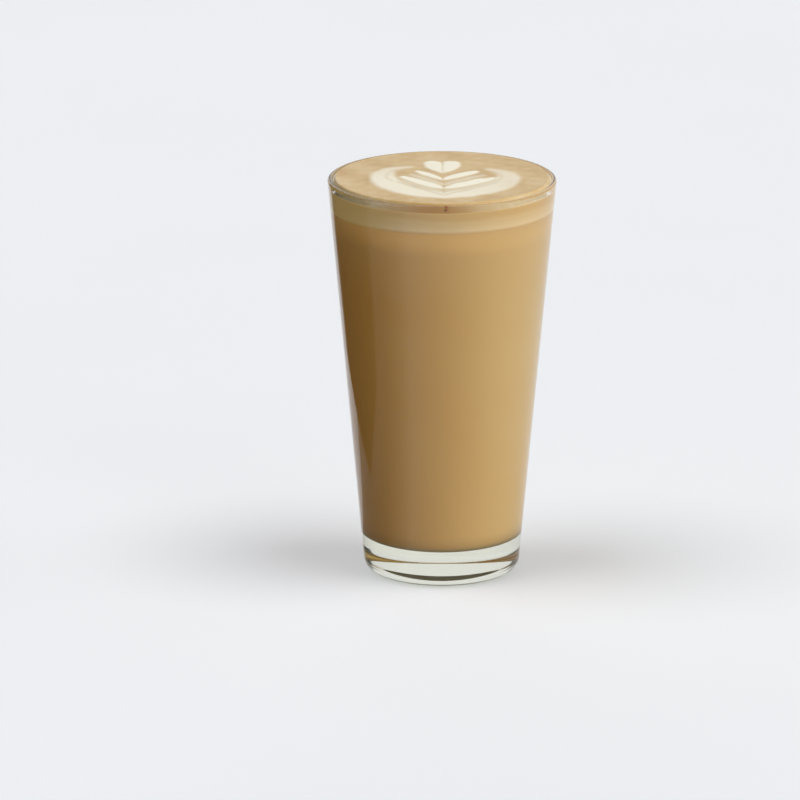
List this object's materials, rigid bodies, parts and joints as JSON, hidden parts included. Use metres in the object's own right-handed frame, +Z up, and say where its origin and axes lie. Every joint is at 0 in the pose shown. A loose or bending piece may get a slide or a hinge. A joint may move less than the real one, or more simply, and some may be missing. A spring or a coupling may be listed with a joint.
{
  "type": "flat white coffee in a glass",
  "caption": "Flat white in a plain clear conical tumbler, filled to the brim, with a layer of milk foam and a leaf poured on top",
  "frame": {"origin": "the middle of the glass's foot, on the surface it stands on", "axes": "+Z up along the axis of the glass; the poured leaf's stem end points to -Y and its tip heart to +Y"},
  "size_m": [0.0708, 0.0708, 0.1261],
  "materials": {
    "clear_glass": "clear soda-lime glass, pressed and fire-polished, smooth and glossy",
    "milk_coffee": "opaque milk coffee, wet against the glass",
    "milk_foam": "fine wet milk foam tinted by the coffee, with a white poured leaf on its top"
  },
  "bodies": {
    "root": {"glass": "clear_glass", "milk_coffee": "milk_coffee", "milk_foam": "milk_foam"}
  },
  "joints": []
}
